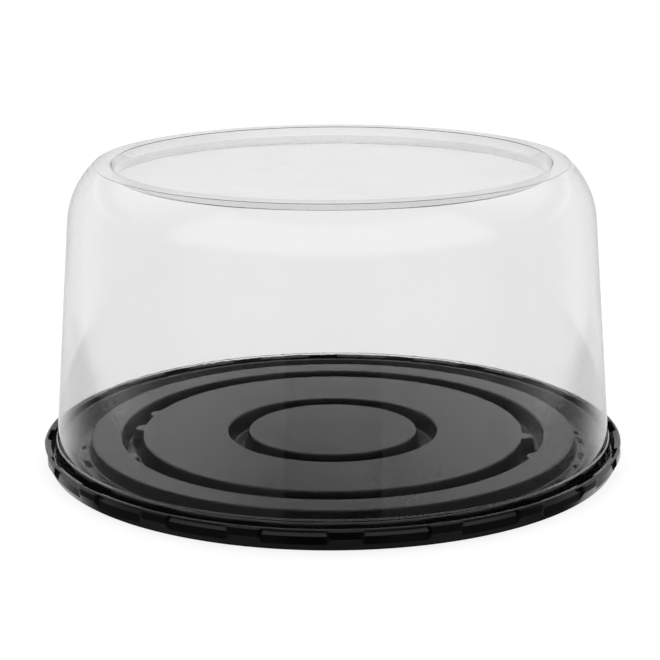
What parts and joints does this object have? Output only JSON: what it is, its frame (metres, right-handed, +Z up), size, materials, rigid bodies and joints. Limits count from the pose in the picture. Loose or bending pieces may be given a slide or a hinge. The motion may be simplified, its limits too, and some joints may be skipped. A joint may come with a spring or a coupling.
{
  "type": "domed cake container",
  "caption": "Flat round tray with grooves, a drip moat and a rim of snap lugs, under a clear lift-off dome with a sunk stacking panel.",
  "frame": {"origin": "on the axis of the tray, at the level of the table that it stands on", "axes": "+Z up along the axis of the tray and dome, -Y towards the front of the picture"},
  "size_m": [0.2736, 0.2736, 0.1405],
  "materials": {
    "black_plastic": "glossy formed sheet",
    "clear_plastic": "clear glossy formed sheet"
  },
  "bodies": {
    "base": {"base_tray": "black_plastic"},
    "dome": {"dome_cover": "clear_plastic"}
  },
  "joints": [
    {"name": "dome_lift", "type": "slide", "parent": "base", "child": "dome", "axis": [0, 0, 1], "range_m": [0, 0.16]}
  ]
}
